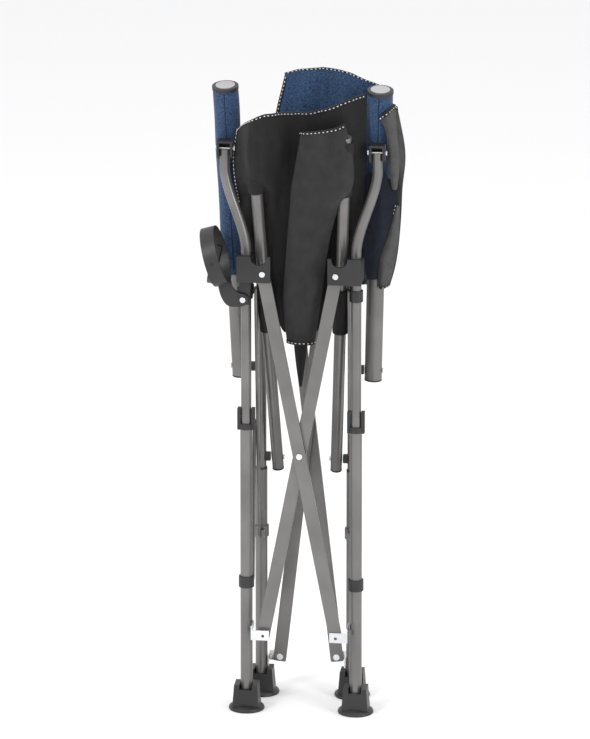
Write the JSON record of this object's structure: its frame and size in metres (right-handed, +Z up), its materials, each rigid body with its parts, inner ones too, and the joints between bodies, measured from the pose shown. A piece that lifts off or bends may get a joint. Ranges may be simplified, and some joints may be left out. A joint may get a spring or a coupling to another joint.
{
  "type": "folding camp chair",
  "caption": "Folding camp chair with a tubular frame, padded arms, fabric seat and back and a swing-out cup ring, modelled folded and standing on its feet.",
  "frame": {"origin": "middle of the folded footprint box, on the ground", "axes": "+Z up, -Y towards the front, +X to the right as seen from the front"},
  "size_m": [0.3012, 0.1756, 1.0017],
  "materials": {
    "tube": "satin powder coat",
    "fitting": "satin moulded",
    "zinc": "zinc plated",
    "blue_cloth": "coated woven polyester",
    "charcoal_cloth": "coated woven polyester",
    "black_webbing": "binding tape",
    "white_thread": "sewing thread",
    "arm_cap": "satin moulded"
  },
  "bodies": {
    "rear_leg_left": {"rear_foot_left": "fitting", "rear_leg_left": "tube", "rear_leg_collar_left": "fitting", "rear_leg_lug_left": "tube", "rear_leg_angle_left": "zinc"},
    "back_post_left": {"back_post_left": "tube", "back_fabric": "blue_cloth"},
    "slide_hub_left": {"rear_slide_hub_left": "fitting"},
    "arm_left": {"arm_tube_left": "tube", "arm_sleeve_left": "blue_cloth", "arm_cap_left": "arm_cap", "arm_clevis_left": "fitting", "arm_pin_left": "zinc"},
    "front_post_left": {"front_post_left": "tube", "seat_hub_left": "fitting", "seat_hub_pin_left": "zinc", "side_bar_ring_left": "fitting", "cup_clamp": "fitting", "cup_rivet": "zinc"},
    "front_leg_left": {"front_foot_left": "fitting", "front_leg_left": "tube", "front_leg_collar_left": "fitting", "strut_ring_left": "fitting", "leg_bracket_left": "zinc"},
    "front_bar_left": {"front_cross_bar_left": "tube", "crossing_rivet": "zinc"},
    "rear_bar_left": {"rear_cross_bar_left": "tube"},
    "side_bar_left": {"side_long_bar_left": "tube"},
    "strut_left": {"side_strut_left": "tube"},
    "seat_rail_left": {"seat_rail_left": "tube", "seat_fabric": "charcoal_cloth"},
    "rear_leg_right": {"rear_foot_right": "fitting", "rear_leg_right": "tube", "rear_leg_collar_right": "fitting", "rear_leg_lug_right": "tube", "rear_leg_angle_right": "zinc"},
    "back_post_right": {"back_post_right": "tube", "back_wing": "charcoal_cloth"},
    "slide_hub_right": {"rear_slide_hub_right": "fitting"},
    "arm_right": {"arm_tube_right": "tube", "arm_sleeve_right": "blue_cloth", "arm_cap_right": "arm_cap", "arm_clevis_right": "fitting", "arm_pin_right": "zinc"},
    "front_post_right": {"front_post_right": "tube", "seat_hub_right": "fitting", "seat_hub_pin_right": "zinc", "side_bar_ring_right": "fitting"},
    "front_leg_right": {"front_foot_right": "fitting", "front_leg_right": "tube", "front_leg_collar_right": "fitting", "strut_ring_right": "fitting", "leg_bracket_right": "zinc"},
    "front_bar_right": {"front_cross_bar_right": "tube"},
    "rear_bar_right": {"rear_cross_bar_right": "tube"},
    "side_bar_right": {"side_long_bar_right": "tube"},
    "strut_right": {"side_strut_right": "tube"},
    "seat_rail_right": {"seat_rail_right": "tube"},
    "cup_ring": {"cup_ring": "fitting"},
    "cup_loop": {"cup_loop": "fitting"}
  },
  "joints": [
    {"name": "back_post_rise_left", "type": "slide", "parent": "rear_leg_left", "child": "back_post_left", "axis": [0, 0, 1], "range_m": [0, 0.13026]},
    {"name": "frame_spread", "type": "slide", "parent": "back_post_left", "child": "back_post_right", "axis": [1, 0, 0], "range_m": [0, 0.3191], "deforming": ["back_fabric"]},
    {"name": "back_post_rise_right", "type": "slide", "parent": "back_post_right", "child": "rear_leg_right", "axis": [0, 0, -1], "range_m": [0, 0.13026]},
    {"name": "rear_hub_slide_left", "type": "slide", "parent": "back_post_left", "child": "slide_hub_left", "axis": [0, 0, -1], "range_m": [0, 0.23839]},
    {"name": "arm_fold_left", "type": "hinge", "parent": "back_post_left", "child": "arm_left", "pos_m": [-0.10037, 0.05625, 0.531], "axis": [1, 0, 0], "range_deg": [0, 67.95]},
    {"name": "front_post_level_left", "type": "hinge", "parent": "arm_left", "child": "front_post_left", "pos_m": [-0.11437, -0.02375, 0.902], "axis": [-1, 0, 0], "range_deg": [0, 67.95]},
    {"name": "front_leg_telescope_left", "type": "slide", "parent": "front_post_left", "child": "front_leg_left", "axis": [0, 0, 1], "range_m": [0, 0.17535]},
    {"name": "front_bar_swing_left", "type": "hinge", "parent": "front_post_left", "child": "front_bar_left", "pos_m": [-0.05387, -0.04675, 0.7125], "axis": [0, -1, 0], "range_deg": [0, 35.67]},
    {"name": "rear_bar_swing_left", "type": "hinge", "parent": "rear_leg_left", "child": "rear_bar_left", "pos_m": [-0.04137, 0.07425, 0.054], "axis": [0, 1, 0], "range_deg": [0, 24.64]},
    {"name": "side_bar_swing_left", "type": "hinge", "parent": "rear_leg_left", "child": "side_bar_left", "pos_m": [-0.06937, 0.03825, 0.2657], "axis": [1, 0, 0], "range_deg": [0, 49.36]},
    {"name": "strut_swing_left", "type": "hinge", "parent": "front_leg_left", "child": "strut_left", "pos_m": [-0.07437, -0.00575, 0.208], "axis": [-1, 0, 0], "range_deg": [0, 42.55]},
    {"name": "rear_hub_slide_right", "type": "slide", "parent": "back_post_right", "child": "slide_hub_right", "axis": [0, 0, -1], "range_m": [0, 0.23839]},
    {"name": "arm_fold_right", "type": "hinge", "parent": "back_post_right", "child": "arm_right", "pos_m": [0.10563, 0.05625, 0.531], "axis": [1, 0, 0], "range_deg": [0, 67.95]},
    {"name": "front_post_level_right", "type": "hinge", "parent": "arm_right", "child": "front_post_right", "pos_m": [0.11963, -0.02375, 0.902], "axis": [-1, 0, 0], "range_deg": [0, 67.95]},
    {"name": "front_leg_telescope_right", "type": "slide", "parent": "front_post_right", "child": "front_leg_right", "axis": [0, 0, 1], "range_m": [0, 0.17535]},
    {"name": "front_bar_swing_right", "type": "hinge", "parent": "front_post_right", "child": "front_bar_right", "pos_m": [0.05913, -0.04675, 0.7125], "axis": [0, 1, 0], "range_deg": [0, 35.67]},
    {"name": "rear_bar_swing_right", "type": "hinge", "parent": "rear_leg_right", "child": "rear_bar_right", "pos_m": [0.04663, 0.07425, 0.054], "axis": [0, -1, 0], "range_deg": [0, 24.64]},
    {"name": "side_bar_swing_right", "type": "hinge", "parent": "rear_leg_right", "child": "side_bar_right", "pos_m": [0.07463, 0.03825, 0.2657], "axis": [1, 0, 0], "range_deg": [0, 49.36]},
    {"name": "strut_swing_right", "type": "hinge", "parent": "front_leg_right", "child": "strut_right", "pos_m": [0.07963, -0.00575, 0.208], "axis": [-1, 0, 0], "range_deg": [0, 42.55]},
    {"name": "seat_rail_fold_left", "type": "hinge", "parent": "back_post_left", "child": "seat_rail_left", "pos_m": [-0.04337, 0.05625, 0.386], "axis": [1, 0, 0], "range_deg": [0, 71.74]},
    {"name": "seat_rail_spread", "type": "slide", "parent": "seat_rail_left", "child": "seat_rail_right", "axis": [1, 0, 0], "range_m": [0, 0.31974], "deforming": ["seat_fabric"]},
    {"name": "cup_ring_fold", "type": "hinge", "parent": "front_post_left", "child": "cup_ring", "pos_m": [-0.08537, -0.04175, 0.667], "axis": [0, -1, 0], "range_deg": [0, 74]},
    {"name": "cup_loop_swing", "type": "hinge", "parent": "cup_ring", "child": "cup_loop", "pos_m": [-0.12737, -0.04175, 0.735], "axis": [0, 1, 0], "range_deg": [0, 63]}
  ],
  "couplings": [
    {"joint": "back_post_rise_left", "follows": "frame_spread", "ratio": 0.4074},
    {"joint": "back_post_rise_right", "follows": "frame_spread", "ratio": 0.4074},
    {"joint": "rear_hub_slide_left", "follows": "frame_spread", "ratio": 0.74558},
    {"joint": "arm_fold_left", "follows": "frame_spread", "rad_per_m": 3.7093},
    {"joint": "front_post_level_left", "follows": "frame_spread", "rad_per_m": 3.7093},
    {"joint": "front_leg_telescope_left", "follows": "frame_spread", "ratio": 0.54842},
    {"joint": "front_bar_swing_left", "follows": "frame_spread", "rad_per_m": 1.947},
    {"joint": "rear_bar_swing_left", "follows": "frame_spread", "rad_per_m": 1.345},
    {"joint": "side_bar_swing_left", "follows": "frame_spread", "rad_per_m": 2.6945},
    {"joint": "strut_swing_left", "follows": "frame_spread", "rad_per_m": 2.3226},
    {"joint": "rear_hub_slide_right", "follows": "frame_spread", "ratio": 0.74558},
    {"joint": "arm_fold_right", "follows": "frame_spread", "rad_per_m": 3.7093},
    {"joint": "front_post_level_right", "follows": "frame_spread", "rad_per_m": 3.7093},
    {"joint": "front_leg_telescope_right", "follows": "frame_spread", "ratio": 0.54842},
    {"joint": "front_bar_swing_right", "follows": "frame_spread", "rad_per_m": 1.947},
    {"joint": "rear_bar_swing_right", "follows": "frame_spread", "rad_per_m": 1.345},
    {"joint": "side_bar_swing_right", "follows": "frame_spread", "rad_per_m": 2.6945},
    {"joint": "strut_swing_right", "follows": "frame_spread", "rad_per_m": 2.3226},
    {"joint": "seat_rail_fold_left", "follows": "frame_spread", "rad_per_m": 3.9162},
    {"joint": "seat_rail_spread", "follows": "frame_spread", "ratio": 1}
  ]
}
